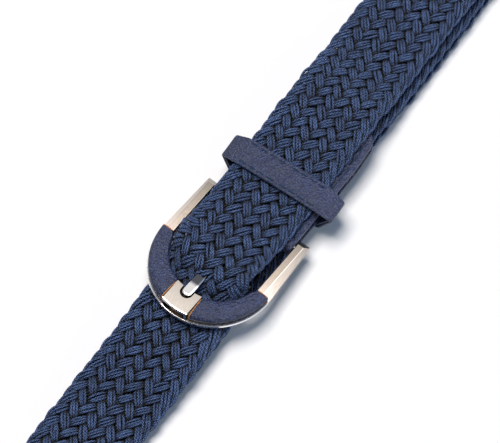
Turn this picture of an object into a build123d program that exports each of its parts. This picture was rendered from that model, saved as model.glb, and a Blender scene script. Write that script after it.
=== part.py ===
from build123d import *
import os
from math import acos, atan, cos, degrees, radians, sin, sqrt, tan

# A braided elastic belt, fastened and laid flat as a closed loop. Millimetres, +Z up, +X along the
# front run from the buckle to the tip, the floor at Z 0. The sizes below count X from the bar.
# The strap is one braided piece. It is cut into runs where it bends, stretches or flexes.

# Strap
strap_width = 32.5
strap_thickness = 3.6
strap_edge_radius = 1.3
loop_length = 400.0
layer_gap = 0.3
bend_radius = 9.0
bend_return_radius = 14.0
bend_return_angle = 60.0

# Leather tab that folds round the bar and holds the strap's start
leather_thickness = 1.3
tab_overhang = 1.35
tab_length = 50.0
tab_taper_start = 36.0
tab_end_width = 33.0
tab_corner_radius = 5.0
tab_braid_start = 10.0
tab_slot_width = 6.4
tab_slot_length = 8.0

# Buckle, drawn flat about its bar, then tilted with its curve upwards and turned a little
buckle_tilt = 7.5
buckle_turn = -1.5
buckle_shift = 1.0
bar_radius = 1.6
bar_clearance = 0.15
bar_seat_depth = 3.0
bar_seat_clearance = 0.02
buckle_side_gap = 0.4
buckle_arm_width = 5.0
buckle_arm_end = 3.5
buckle_arm_length = 21.9
buckle_opening_arc_depth = 14.5
buckle_curve_width = 9.8
buckle_half_height = 2.2
arm_top_width = 2.5
arm_side_height = 1.0
arm_taper = 1.3
arm_end_bevel = 2.4
arm_edge_radius = 0.35
rim_thickness = 1.1
rim_ledge = 0.35
cover_crown = 0.3
cover_leather = 0.9
cover_edge_radius = 2.0
core_edge_radius = 1.1
rest_width = 10.2
rest_crown = 0.5
rest_edge_radius = 0.7
rest_notch_width = 4.8
rest_notch_length = 4.2
rest_window_width = 8.6
rest_window_height = 3.0
rest_window_depth = 2.6
side_clearance = 0.05
edge_tolerance = 0.05

# Prong
prong_bar_clearance = 0.08
prong_wall = 1.0
prong_roll_width = 5.0
prong_width = 3.8
prong_thickness = 1.9
prong_edge_radius = 0.8
prong_tip_reach = 3.2
prong_tip_rise = 2.3
prong_tip_seat = 0.15
prong_hole_gap = 2.9
prong_hole_length = 17.0
prong_hole_clearance = 0.5

# How the strap climbs out from under the buckle, over the prong and the bar
lift_gap = 3.8
lift_length = 30.0
climb_radius = 6.0
climb_top_radius = 7.0
climb_angle = 45.0
climb_lead = 1.0
crest_angle = 4.5
crest_radius = 30.0
crest_end = 4.0
upper_shift = 1.3
step_down_radius = 40.0

# Keeper loop
keeper_place = 16.6
keeper_length = 10.4
keeper_turn = 1.6
keeper_leather_thickness = 0.9
keeper_lining_thickness = 0.7
keeper_side_gap = 2.8
keeper_top_corner = 5.0
keeper_bottom_corner = 3.5
keeper_joint_gap = 0.3
staple_width = 6.0
staple_wire = 0.5

# Free end
tail_flex_lead = 2.0
tail_flex_share = 0.4
tip_leather_thickness = 1.1
tip_strap_length = 22.0
tip_close_gap = 1.0
tip_close_length = 7.0
tip_length = 41.0
tip_point_radius = 12.0
tip_strap_thickness = 2.8
tip_strap_edge_radius = 1.1
tip_blend_length = 8.0

# Thread
stitch_length = 3.0
stitch_pitch = 3.8
stitch_width = 0.5
stitch_height = 0.3
stitch_inset = 2.0
keeper_stitch_inset = 1.3

# Where the strap is cut into runs, along X
bend_lead = 2.8
floor_stretch_start = -60.0
buckle_run_end = 8.0

# Places across the strap, and how thick it is there, for the climbing run
across_shares = (0.0, 0.4, 0.65, 0.86, 0.95, 1.0)
thickness_shares = (1.0, 1.0, 1.0, 1.0, 0.85, 0.5)
lift_steps = 6
reach_passes = 6

# Widths and reaches that follow from the strap and the opening
tab_width = strap_width + 2 * tab_overhang
buckle_opening_width = tab_width + 2 * buckle_side_gap
buckle_width = buckle_opening_width + 2 * buckle_arm_width
buckle_arc_depth = buckle_opening_arc_depth + buckle_curve_width
opening_reach = buckle_arm_length + buckle_opening_arc_depth
prong_length = opening_reach + prong_tip_reach
prong_hole_start = opening_reach - prong_hole_gap - prong_hole_length
lift_end = buckle_arm_length + buckle_arc_depth + lift_gap
lift_start = lift_end + lift_length

# Levels, each from the layer below it
floor_level = strap_thickness / 2
lower_level = floor_level + strap_thickness + layer_gap
keeper_thickness = keeper_leather_thickness + keeper_lining_thickness
tab_inner_half = bar_radius + bar_clearance
tab_half = tab_inner_half + leather_thickness
keeper_floor = strap_thickness + layer_gap
tab_floor = keeper_floor + keeper_thickness + layer_gap
bar_level = tab_floor + tab_half
upper_level = bar_level + tab_half + layer_gap + strap_thickness / 2
tip_half = tip_strap_thickness / 2 + tip_leather_thickness
tail_level = lower_level + strap_thickness / 2 + layer_gap + tip_half
keeper_roof = upper_level + strap_thickness / 2 + layer_gap

# The two bends of the loop
bend_centre = loop_length / 2 - strap_thickness / 2 - bend_radius
bend_rise = 2 * bend_radius - (lower_level - floor_level)
bend_sine = sin(radians(bend_return_angle))
bend_cosine = cos(radians(bend_return_angle))
bend_straight = (bend_rise - (bend_radius + bend_return_radius) * (1 - bend_cosine)) / bend_sine
bend_return_end = bend_centre - (bend_radius + bend_return_radius) * bend_sine - bend_straight * bend_cosine
right_run_end = bend_return_end - bend_lead
left_bend_start = -right_run_end


def step_length(drop):
    # How far along X two equal arcs take to lower a level run by a drop.
    return 2 * step_down_radius * sqrt(1 - (1 - drop / (2 * step_down_radius)) ** 2)


# The free end, back from the right bend
tip_start = right_run_end - tip_length
tail_end = tip_start + tip_strap_length
tip_close_start = tail_end + tip_close_gap
tail_flex_start = tab_length + step_length(upper_level - tail_level) + tail_flex_lead
tail_flex_end = tail_flex_start + tail_flex_share * (tip_start - tip_blend_length - tail_flex_start)


def beside(x, z, heading, offset):
    # The point at a distance to the left of a heading, in the XZ plane.
    side = radians(heading + 90)
    return x + offset * cos(side), z + offset * sin(side)


def band_face(x, z, heading, steps, thickness):
    # The side view of a flat band that follows lines and arcs: ("line", length) or
    # ("arc", radius, turn in degrees, positive to the left).
    sides = {thickness / 2: [], -thickness / 2: []}

    def point(px, pz, angle, offset):
        bx, bz = beside(px, pz, angle, offset)
        return (bx, 0, bz)

    for step in steps:
        if step[0] == "line":
            end_x = x + step[1] * cos(radians(heading))
            end_z = z + step[1] * sin(radians(heading))
            for offset, edges in sides.items():
                edges.append(Line(point(x, z, heading, offset), point(end_x, end_z, heading, offset)))
            x, z = end_x, end_z
        else:
            _, radius, turn = step
            reach = radius if turn > 0 else -radius
            centre = beside(x, z, heading, reach)
            stops = []
            for share in (0, 0.5, 1):
                angle = heading + share * turn
                stops.append((*beside(*centre, angle, -reach), angle))
            for offset, edges in sides.items():
                edges.append(ThreePointArc(*[point(*stop, offset) for stop in stops]))
            x, z, heading = stops[-1]
    left, right = sides.values()
    caps = [Line(right[0] @ 0, left[0] @ 0), Line(right[-1] @ 1, left[-1] @ 1)]
    return Face(Wire(left + right + caps))


def band(x, z, heading, steps, thickness=strap_thickness):
    # A run of the strap with rounded long edges.
    side_view = band_face(x, z, heading, steps, thickness)
    solid = extrude(side_view.moved(Location((0, -strap_width / 2, 0))), amount=strap_width, dir=(0, 1, 0))
    return fillet(long_side_edges(solid, thickness), strap_edge_radius)


def long_side_edges(solid, thickness):
    # The edges at both sides of a band that run along it, without those of its two ends.
    def at_side(point):
        return abs(abs(point.Y) - strap_width / 2) < edge_tolerance

    along = [e for e in solid.edges() if at_side(e @ 0) and at_side(e @ 0.5) and at_side(e @ 1)]
    return [e for e in along if abs(e.length - thickness) > edge_tolerance]


def s_step(drop):
    # Two equal arcs that lower a level run by a drop.
    angle = degrees(acos(1 - drop / (2 * step_down_radius)))
    return [("arc", step_down_radius, -angle), ("arc", step_down_radius, angle)]


def make_loop():
    # The strap from its start in the tab, round both bends and back to the buckle.
    drop = bar_level - lower_level
    pressed = 2 * (tab_inner_half - side_clearance)
    start_run = [("line", tab_length - tab_braid_start)] + s_step(drop)
    start_run.append(("line", right_run_end - tab_length - step_length(drop)))
    right_bend = [
        ("line", bend_return_end - right_run_end),
        ("arc", bend_return_radius, bend_return_angle),
        ("line", bend_straight),
        ("arc", bend_radius, -180 - bend_return_angle),
        ("line", bend_centre - right_run_end),
    ]
    left_bend = [
        ("line", bend_centre + left_bend_start),
        ("arc", bend_radius, -180 - bend_return_angle),
        ("line", bend_straight),
        ("arc", bend_return_radius, bend_return_angle),
        ("line", left_bend_start + bend_return_end),
    ]
    return {
        "strap_buckle_end": band(tab_braid_start, bar_level, 0, start_run, pressed),
        "strap_right_bend": band(right_run_end, lower_level, 0, right_bend),
        "strap_floor_run": band(
            right_run_end, floor_level, 180, [("line", right_run_end - floor_stretch_start)]
        ),
        "strap_floor_stretch": band(
            floor_stretch_start, floor_level, 180, [("line", floor_stretch_start - left_bend_start)]
        ),
        "strap_left_bend": band(left_bend_start, floor_level, 180, left_bend),
        "strap_front_stretch": band(
            left_bend_start, lower_level, 0, [("line", -lift_start - left_bend_start)]
        ),
    }


def make_free_end():
    # The strap from behind the buckle, through the keeper and on to the tip.
    front = [("line", tab_length - buckle_run_end)] + s_step(upper_level - tail_level)
    front.append(("line", tail_flex_lead))
    flex = [("line", tail_flex_end - tail_flex_start)]
    runs = {
        "strap_front_run": band(buckle_run_end, upper_level, 0, front),
        "strap_tail_flex": band(tail_flex_start, tail_level, 0, flex),
        "strap_tail": make_tail(),
    }
    return {name: Pos(0, upper_shift, 0) * run for name, run in runs.items()}


def make_tail():
    # The strap's last stretch, pressed thinner between the two tip leathers.
    half, pressed = strap_thickness / 2, tip_strap_thickness / 2 - side_clearance
    outline = [(tail_flex_end, -half), (tip_start - tip_blend_length, -half), (tip_start, -pressed)]
    outline += [(tail_end, -pressed)]
    outline += [(x, -z) for x, z in reversed(outline)]
    tail = prism([(x, -strap_width / 2, tail_level + z) for x, z in outline], strap_width, (0, 1, 0))
    ends = [e for e in long_side_edges(tail, 0) if abs((e @ 0).X - (e @ 1).X) > edge_tolerance]
    return fillet(ends, tip_strap_edge_radius)


def curve_reach(y):
    # How far from the bar the inner edge of the buckle's curve is, at a place across the belt.
    turn = radians(-buckle_turn)
    reach = opening_reach
    for _ in range(reach_passes):
        across = (y - buckle_shift - reach * sin(turn)) / cos(turn)
        share = min(2 * abs(across) / buckle_opening_width, 1)
        reach = buckle_arm_length + buckle_opening_arc_depth * sqrt(1 - share**2)
    return reach


def under_curve_level():
    # The strap's middle under the curve, low enough to clear it at both sides of the strap.
    tilt = radians(buckle_tilt)
    reach = min(curve_reach(upper_shift + side * strap_width / 2) for side in (-1, 1))
    underside = bar_level + reach * sin(tilt) - buckle_half_height * cos(tilt)
    return underside - layer_gap - strap_thickness / 2


def climb_steps(y):
    # The strap's way from under the curve, up the slope, over the crest and on over the bar.
    rise, fall, tilt = radians(climb_angle), radians(crest_angle), radians(buckle_tilt)
    start = -curve_reach(y) * cos(tilt) - climb_lead
    height = upper_level - under_curve_level() + crest_radius * (1 - cos(fall))
    height -= climb_radius * (1 - cos(rise)) + climb_top_radius * (cos(fall) - cos(rise))
    length = -crest_end - start - crest_radius * sin(fall)
    length -= climb_radius * sin(rise) + climb_top_radius * (sin(rise) + sin(fall))
    slope = (height * cos(fall) + length * sin(fall)) / sin(rise + fall)
    crest = (length * sin(rise) - height * cos(rise)) / sin(rise + fall)
    return [
        ("line", start + lift_end),
        ("arc", climb_radius, climb_angle),
        ("line", slope),
        ("arc", climb_top_radius, -climb_angle - crest_angle),
        ("line", crest),
        ("arc", crest_radius, crest_angle),
        ("line", buckle_run_end + crest_end),
    ]


def strap_sides():
    # Places across the strap with the thickness there, from one side to the other.
    half = strap_width / 2
    one_side = [(half * a, strap_thickness * t) for a, t in zip(across_shares, thickness_shares)]
    return [(-y, t) for y, t in reversed(one_side[1:])] + one_side


def make_strap_in_buckle():
    # The lift towards the curve, then the climb, as one run with the prong's hole.
    level = under_curve_level()
    lift = []
    for i in range(lift_steps + 1):
        share = i / lift_steps
        eased = share * share * (3 - 2 * share)
        x = -lift_start + share * (lift_start - lift_end)
        y0, z0 = eased * upper_shift, lower_level + eased * (level - lower_level)
        upper = [(x, y0 + y, z0 + t / 2) for y, t in strap_sides()]
        under = [(x, y0 + y, z0 - t / 2) for y, t in reversed(strap_sides())]
        lift.append(Face(Polyline(*upper, *under, close=True)))
    climb = []
    for y, t in strap_sides():
        side_view = band_face(-lift_end, level, 0, climb_steps(upper_shift + y), t)
        climb.append(side_view.moved(Location((0, upper_shift + y, 0))))
    run = loft(lift, ruled=True) + loft(climb, ruled=True)
    outline = SlotOverall(prong_hole_length, prong_width + 2 * prong_hole_clearance)
    hole = extrude(outline, amount=2 * upper_level)
    hole_middle = prong_hole_start + prong_hole_length / 2
    return run - Pos(0, buckle_shift, 0) * Rot(0, 0, buckle_turn) * Pos(-hole_middle, 0, 0) * hole


def crescent(outer_inset, inner_inset, bottom, top):
    # The buckle's curved half: between the outer and the opening's ellipses, beyond the arms.
    outer = Ellipse(buckle_arc_depth - outer_inset, buckle_width / 2 - outer_inset)
    inner = Ellipse(buckle_opening_arc_depth + inner_inset, buckle_opening_width / 2 + inner_inset)
    keep = Pos(-buckle_width / 2, 0) * Rectangle(buckle_width, 2 * buckle_width)
    plan = (outer - inner) & keep
    return extrude(Pos(-buckle_arm_length, 0, bottom) * plan, amount=top - bottom)


def prism(points, amount, direction):
    # A closed outline drawn out along one axis.
    return extrude(Face(Polyline(*points, close=True)), amount=amount, dir=direction)


def make_arm(side):
    # One straight arm: bevelled outer edge, outer side that draws in, end that slopes down.
    inner, outer = side * buckle_opening_width / 2, side * buckle_width / 2
    shoulder = inner + side * arm_top_width
    low, high = -buckle_half_height, buckle_half_height
    start, end = -buckle_arm_length, buckle_arm_end
    section = [
        (start, inner, low), (start, outer, low), (start, outer, low + arm_side_height),
        (start, shoulder, high), (start, inner, high),
    ]
    side_view = [
        (start, 0, low), (end, 0, low), (end, 0, 0), (end - arm_end_bevel, 0, high), (start, 0, high),
    ]
    plan = [(start, 0, low), (start, outer, low), (end, outer - side * arm_taper, low), (end, 0, low)]
    arm = prism(section, end - start, (1, 0, 0))
    arm = arm & prism(side_view, buckle_width, (0, side, 0))
    arm = arm & prism(plan, high - low, (0, 0, 1))
    top_edges = [
        e for e in arm.edges()
        if e.length > buckle_arm_length and min((e @ 0).Z, (e @ 1).Z) > high - edge_tolerance
    ]
    arm = fillet(top_edges, arm_edge_radius)
    seat = Cylinder(bar_radius + bar_seat_clearance, bar_seat_depth)
    return arm - Pos(0, inner + side * bar_seat_depth / 2, 0) * Rot(90, 0, 0) * seat


def round_top(solid, top, radius):
    # Rounds the long curved edges of a level top.
    edges = [
        e for e in solid.edges()
        if abs(e.center().Z - top) < edge_tolerance and e.geom_type != GeomType.LINE and e.length > radius
    ]
    return fillet(edges, radius)


def make_buckle():
    floor = -buckle_half_height + rim_thickness
    top = buckle_half_height + cover_crown
    bar_length = buckle_opening_width + 2 * (bar_seat_depth - side_clearance)
    cover = round_top(crescent(rim_ledge, rim_ledge, floor, top), top, cover_edge_radius)
    core_inset = rim_ledge + cover_leather
    core_top = top - cover_leather
    core = round_top(crescent(core_inset, core_inset, floor, core_top), core_top, core_edge_radius)
    pieces = {
        "buckle_frame": crescent(0, 0, -buckle_half_height, floor) + make_arm(1) + make_arm(-1),
        "buckle_bar": Rot(90, 0, 0) * Cylinder(bar_radius, bar_length),
        "prong_rest": make_prong_rest(floor, top),
    }
    # The padded cover stops short of the arms and of the prong rest.
    for name, side in (("left", 1), ("right", -1)):
        beyond_arms = -buckle_arm_length - side_clearance - buckle_width / 2
        beside_rest = side * (rest_width / 2 + side_clearance + buckle_width / 2)
        keep = Pos(beyond_arms, beside_rest, 0) * Box(buckle_width, buckle_width, buckle_width)
        pieces["cover_leather_" + name] = (cover - core) & keep
        pieces["cover_core_" + name] = core & keep
    return pieces


def make_prong_rest(floor, top):
    # The metal saddle that the prong's tip lies in, at the middle of the curve.
    crown = top + rest_crown
    slab = Box(4 * buckle_width, rest_width, 4 * buckle_width)
    saddle = crescent(rim_ledge / 2, rim_ledge / 2, floor, crown) & slab
    across = [
        e for e in saddle.edges()
        if abs(e.center().Z - crown) < edge_tolerance and abs((e @ 0).Y - (e @ 1).Y) > rest_width / 2
    ]
    saddle = fillet(across, rest_edge_radius)
    half = rest_notch_width / 2
    round_end = half - opening_reach - rest_notch_length
    notch_floor = prong_rise(-round_end) - prong_thickness / 2 - prong_tip_seat
    tall = 2 * crown
    mouth = Box(buckle_arc_depth, rest_notch_width, tall, align=(Align.MIN, Align.CENTER, Align.MIN))
    pocket = mouth + Cylinder(half, tall, align=(Align.CENTER, Align.CENTER, Align.MIN))
    outer_edge = -(buckle_arm_length + buckle_arc_depth)
    window = Box(2 * (rest_window_depth + rim_ledge / 2), rest_window_width, rest_window_height)
    saddle -= Pos(round_end, 0, notch_floor) * pocket
    return saddle - Pos(outer_edge, 0, (floor + top) / 2) * window


def prong_rise(distance):
    # Height of the prong's middle above the buckle's plane, at a distance from the bar.
    return prong_tip_rise * distance / prong_length


def make_prong():
    inner = bar_radius + prong_bar_clearance
    outer = inner + prong_wall
    half = prong_thickness / 2
    slope = atan(prong_tip_rise / prong_length)
    shank = Pos(-prong_length / 2, 0, 0) * Box(prong_length, prong_width, prong_thickness)
    tip_corners = [e for e in shank.edges().filter_by(Axis.Z) if (e @ 0).X < half - prong_length]
    shank = fillet(tip_corners, prong_width / 2 - side_clearance)
    top_edges = [
        e for e in shank.edges()
        if abs(abs(e.center().Z) - half) < edge_tolerance and e.center().X < -edge_tolerance
    ]
    shank = fillet(top_edges, prong_edge_radius)
    roll = Rot(90, 0, 0) * Cylinder(outer, prong_roll_width)
    bore = Rot(90, 0, 0) * Cylinder(inner, 2 * prong_roll_width)
    return Rot(0, degrees(slope), 0) * (roll + shank - bore)


def make_tab():
    # A strip of leather folded round the bar, with a slot for the prong's roll.
    inner, outer, end = tab_inner_half, tab_half, tab_length
    side_view = Face(Wire([
        Line((end, 0, inner), (0, 0, inner)),
        ThreePointArc((0, 0, inner), (-inner, 0, 0), (0, 0, -inner)),
        Line((0, 0, -inner), (end, 0, -inner)),
        Line((end, 0, -inner), (end, 0, -outer)),
        Line((end, 0, -outer), (0, 0, -outer)),
        ThreePointArc((0, 0, -outer), (-outer, 0, 0), (0, 0, outer)),
        Line((0, 0, outer), (end, 0, outer)),
        Line((end, 0, outer), (end, 0, inner)),
    ]))
    strip = extrude(side_view.moved(Location((0, -tab_width / 2, 0))), amount=tab_width, dir=(0, 1, 0))
    wide, narrow = tab_width / 2, tab_end_width / 2
    outline = [(-2 * outer, wide), (tab_taper_start, wide), (end, narrow)]
    outline += [(x, -y) for x, y in reversed(outline)]
    plan = Face(Polyline(*[(x, y, -outer) for x, y in outline], close=True))
    block = extrude(plan, amount=2 * outer, dir=(0, 0, 1))
    corners = [e for e in block.edges().filter_by(Axis.Z) if (e @ 0).X > end - edge_tolerance]
    strip = strip & fillet(corners, tab_corner_radius)
    slot = Box(2 * tab_slot_length, tab_slot_width, 4 * outer)
    slot += Pos(tab_slot_length, 0, 0) * Cylinder(tab_slot_width / 2, 4 * outer)
    return strip - slot


def seam(start, end, z, facing):
    # A row of stitches on a level face between two points: low bars with flat undersides.
    (x0, y0), (x1, y1) = start, end
    length = sqrt((x1 - x0) ** 2 + (y1 - y0) ** 2)
    count = int((length - stitch_length) / stitch_pitch) + 1
    first = (length - (count - 1) * stitch_pitch) / 2
    turn = degrees(acos((x1 - x0) / length)) * (1 if y1 >= y0 else -1)
    align = (Align.CENTER, Align.CENTER, Align.MIN if facing > 0 else Align.MAX)
    bar = Box(stitch_length, stitch_width, stitch_height, align=align)
    stitches = []
    for i in range(count):
        share = (first + i * stitch_pitch) / length
        place = Pos(x0 + share * (x1 - x0), y0 + share * (y1 - y0), z)
        stitches.append(place * Rot(0, 0, turn) * bar)
    return stitches


def make_tab_thread():
    stitches = []
    wide, narrow = tab_width / 2 - stitch_inset, tab_end_width / 2 - stitch_inset
    corner = tab_length - tab_corner_radius
    near = tab_slot_length + tab_slot_width / 2 + stitch_inset
    for facing in (1, -1):
        level = facing * tab_half
        for side in (1, -1):
            stitches += seam((0, side * wide), (tab_taper_start, side * wide), level, facing)
            stitches += seam((tab_taper_start, side * wide), (corner, side * narrow), level, facing)
        far = tab_length - stitch_inset
        half = tab_end_width / 2 - tab_corner_radius
        stitches += seam((far, -half), (far, half), level, facing)
        stitches += seam((near, stitch_inset - wide), (near, wide - stitch_inset), level, facing)
    return Compound(children=stitches)


def rounded_box_wire(grow, length):
    # The keeper's inner outline in the YZ plane, grown outwards by an amount.
    half = tab_width / 2 + keeper_side_gap + grow
    low, high = keeper_floor + keeper_thickness - grow, keeper_roof + grow
    rb, rt = keeper_bottom_corner + grow, keeper_top_corner + grow
    bend = 1 - cos(radians(45))
    x = -length / 2
    return Wire([
        Line((x, rb - half, low), (x, half - rb, low)),
        ThreePointArc((x, half - rb, low), (x, half - rb * bend, low + rb * bend), (x, half, low + rb)),
        Line((x, half, low + rb), (x, half, high - rt)),
        ThreePointArc((x, half, high - rt), (x, half - rt * bend, high - rt * bend), (x, half - rt, high)),
        Line((x, half - rt, high), (x, rt - half, high)),
        ThreePointArc((x, rt - half, high), (x, rt * bend - half, high - rt * bend), (x, -half, high - rt)),
        Line((x, -half, high - rt), (x, -half, low + rb)),
        ThreePointArc((x, -half, low + rb), (x, rb * bend - half, low + rb * bend), (x, rb - half, low)),
    ])


def keeper_wall(inset, wall):
    face = Face(rounded_box_wire(inset + wall, keeper_length), [rounded_box_wire(inset, keeper_length)])
    return extrude(face, amount=keeper_length, dir=(1, 0, 0))


def make_keeper():
    # A leather band round the belt with a thinner lining. Its ends meet under the belt,
    # where a wire staple bridges them.
    lining = keeper_wall(0, keeper_lining_thickness)
    leather = keeper_wall(keeper_lining_thickness, keeper_leather_thickness)
    base = (Align.CENTER, Align.CENTER, Align.MIN)
    room = 2 * side_clearance
    leather -= Pos(0, 0, keeper_floor) * Box(
        keeper_length, keeper_joint_gap, keeper_leather_thickness, align=base
    )
    leather -= Pos(0, 0, keeper_floor) * Box(
        staple_wire + room, staple_width + room, staple_wire + side_clearance, align=base
    )
    staple = Box(staple_wire, staple_width, staple_wire, align=base)
    for side in (1, -1):
        leg = Pos(0, side * (staple_width - staple_wire) / 2, 0)
        staple += leg * Box(staple_wire, staple_wire, keeper_leather_thickness - side_clearance, align=base)
        leather -= Pos(0, 0, keeper_floor) * leg * Box(
            staple_wire + room, staple_wire + room, keeper_leather_thickness, align=base
        )
    roof = keeper_roof + keeper_thickness
    flat = tab_width / 2 + keeper_side_gap - keeper_top_corner
    thread = []
    for side in (1, -1):
        x = side * (keeper_length / 2 - keeper_stitch_inset)
        thread += seam((x, -flat), (x, flat), roof, 1)
    return {
        "keeper_lining": lining,
        "keeper_leather": leather,
        "keeper_staple": Pos(0, 0, keeper_floor) * staple,
        "keeper_thread": Compound(children=thread),
    }


def make_tip_leaf(side):
    # One leaf of the tip: over the strap's end, then bent in to meet the other leaf.
    inner = tip_strap_thickness / 2
    close_end = tip_close_start + tip_close_length
    end = tip_start + tip_length
    inner_line = [(tip_start, inner), (tip_close_start, inner), (close_end, 0), (end, 0)]
    outer_line = [(x, z + tip_leather_thickness) for x, z in reversed(inner_line)]
    points = [(x, -strap_width / 2, side * z) for x, z in inner_line + outer_line]
    leaf = prism(points, strap_width, (0, 1, 0))
    corners = [e for e in leaf.edges().filter_by(Axis.Z) if (e @ 0).X > end - edge_tolerance]
    return fillet(corners, tip_point_radius)


def make_tip():
    edge = strap_width / 2 - stitch_inset
    far = tip_start + tip_length - stitch_inset
    point_half = strap_width / 2 - tip_point_radius
    near = tip_start + stitch_inset
    thread = []
    for facing in (1, -1):
        level = facing * (tip_strap_thickness / 2 + tip_leather_thickness)
        for side in (1, -1):
            thread += seam((near, side * edge), (tip_close_start, side * edge), level, facing)
        thread += seam((near, stitch_inset - edge), (near, edge - stitch_inset), level, facing)
        thread += seam((far, -point_half), (far, point_half), facing * tip_leather_thickness, facing)
    return {
        "tip_front_leather": make_tip_leaf(1),
        "tip_back_leather": make_tip_leaf(-1),
        "tip_thread": Compound(children=thread),
    }


def main():
    os.makedirs("parts", exist_ok=True)
    nodes = make_loop()
    nodes["strap_in_buckle"] = make_strap_in_buckle()
    nodes.update(make_free_end())
    turned = Pos(0, buckle_shift, bar_level) * Rot(0, 0, buckle_turn)
    nodes["tab_leather"] = turned * make_tab()
    nodes["tab_thread"] = turned * make_tab_thread()
    seated = turned * Rot(0, buckle_tilt, 0)
    for name, piece in make_buckle().items():
        nodes[name] = seated * piece
    nodes["prong"] = seated * make_prong()
    keeper_side = buckle_shift + keeper_place * tan(radians(buckle_turn))
    for name, piece in make_keeper().items():
        nodes[name] = Pos(keeper_place, keeper_side, 0) * Rot(0, 0, keeper_turn) * piece
    for name, piece in make_tip().items():
        nodes[name] = Pos(0, upper_shift, tail_level) * piece

    # The origin goes to the middle of the whole belt's underside.
    boxes = [shape.bounding_box() for shape in nodes.values()]
    middle = (min(b.min.Y for b in boxes) + max(b.max.Y for b in boxes)) / 2
    for name, shape in nodes.items():
        export_step(Pos(0, -middle, 0) * shape, os.path.join("parts", name + ".step"))
    print("bar at", 0, round(buckle_shift - middle, 3), round(bar_level, 3))


main()
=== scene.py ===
import bpy
import numpy as np
from math import acos, asin, atan, atan2, ceil, cos, degrees, hypot, pi, radians, sin, sqrt, tan, tanh
from mathutils import Matrix, Vector


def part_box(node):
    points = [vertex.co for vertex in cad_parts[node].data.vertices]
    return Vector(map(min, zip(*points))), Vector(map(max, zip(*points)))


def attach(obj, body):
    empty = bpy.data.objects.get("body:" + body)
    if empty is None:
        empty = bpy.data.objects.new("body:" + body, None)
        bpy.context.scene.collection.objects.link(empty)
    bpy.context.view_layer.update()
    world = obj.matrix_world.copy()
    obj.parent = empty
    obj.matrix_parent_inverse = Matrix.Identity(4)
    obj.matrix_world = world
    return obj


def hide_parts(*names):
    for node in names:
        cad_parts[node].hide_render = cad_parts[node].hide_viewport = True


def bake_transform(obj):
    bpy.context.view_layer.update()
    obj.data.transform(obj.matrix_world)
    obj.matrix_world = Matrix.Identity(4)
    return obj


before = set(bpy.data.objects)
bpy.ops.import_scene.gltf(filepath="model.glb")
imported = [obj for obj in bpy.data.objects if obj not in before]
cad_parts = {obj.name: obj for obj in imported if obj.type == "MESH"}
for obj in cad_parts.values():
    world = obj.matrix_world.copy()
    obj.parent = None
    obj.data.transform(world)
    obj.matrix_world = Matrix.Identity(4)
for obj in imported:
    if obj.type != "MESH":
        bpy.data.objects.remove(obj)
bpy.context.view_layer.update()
mm = 0.001


def midOf(node):
    low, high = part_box(node)
    return (low + high) / 2


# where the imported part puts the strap, in millimetres
lowerMid, barMid = midOf("strap_front_stretch"), midOf("buckle_bar")
loopY, lowerZ = lowerMid.y / mm, lowerMid.z / mm
barY, barZ = barMid.y / mm, barMid.z / mm
upperY = midOf("strap_front_run").y / mm
floorZ = midOf("strap_floor_run").z / mm
tailZ = midOf("strap_tail_flex").z / mm
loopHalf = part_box("strap_right_bend")[1].x / mm
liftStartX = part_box("strap_front_stretch")[1].x / mm
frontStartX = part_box("strap_front_run")[0].x / mm
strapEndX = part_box("strap_tail")[1].x / mm
floorLow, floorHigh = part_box("strap_floor_run")
strapWidth, strapThick = (floorHigh.y - floorLow.y) / mm, (floorHigh.z - floorLow.z) / mm
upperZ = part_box("strap_front_run")[1].z / mm - strapThick / 2
print("frame loaded, strap", round(strapWidth, 1), "by", round(strapThick, 1), "mm")


# the way of the strap

beltWay = {
    "startX": 10.0,
    "bendRadius": 9.0,
    "returnRadius": 14.0,
    "returnAngle": 60.0,
    "stepRadius": 40.0,
    "tabEndX": 50.0,
    "liftEndX": -50.0,
    "climbRadius": 6.0,
    "climbTopRadius": 7.0,
    "climbAngle": 45.0,
    "climbLead": 1.0,
    "crestAngle": 4.5,
    "crestRadius": 30.0,
    "crestX": -4.0,
    "layerGap": 0.3,
    # the buckle's curve, that the strap climbs out of
    "armLength": 21.9,
    "openingDepth": 14.5,
    "openingHalf": 18.0,
    "buckleHalfHeight": 2.2,
    "buckleTilt": 7.5,
    "buckleTurn": -1.5,
    # how far the strap wanders sideways from the loop's middle
    "wanderX": (
        -175, -150, -90, -75, -62, -50, -42, -34, -28, -20, -6, 4, 13, 23, 30, 50, 84, 120, 150,
    ),
    "wanderY": (
        0.0, 0.6, 0.8, 0.6, 0.2, 0.3, 0.6, 2.2, 3.2, 2.3, 1.9, 1.6, 1.5, 1.6, 2.0, 1.9, 2.3, 1.8, 1.3,
    ),
    "floorWanderX": (-160, -100, -45, 0, 30, 90, 150),
    "floorWanderY": (0.0, 1.5, 1.5, 1.4, 1.2, -0.3, 0.0),
    "wanderRounds": 12,
    "acrossCount": 41,
    "acrossHalf": 20.0,
    "rowSpacing": 0.7,
    "fewestRows": 4,
}


def curveReach(y):
    # how far the inner edge of the buckle's curve is from the bar, at a place across the belt
    turn = radians(-beltWay["buckleTurn"])
    reach = beltWay["armLength"] + beltWay["openingDepth"]
    for closer in range(6):
        across = (y - barY - reach * sin(turn)) / cos(turn)
        share = min(abs(across) / beltWay["openingHalf"], 1.0)
        reach = beltWay["armLength"] + beltWay["openingDepth"] * sqrt(1 - share ** 2)
    return reach


def underCurveZ():
    # how high the strap's middle lies where it passes under the curve
    tilt = radians(beltWay["buckleTilt"])
    reach = min(curveReach(upperY + side * strapWidth / 2) for side in (-1, 1))
    underside = barZ + reach * sin(tilt) - beltWay["buckleHalfHeight"] * cos(tilt)
    return underside - beltWay["layerGap"] - strapThick / 2


# a step of the way is a line with its length and rise, or an arc with its radius and turn

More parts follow.
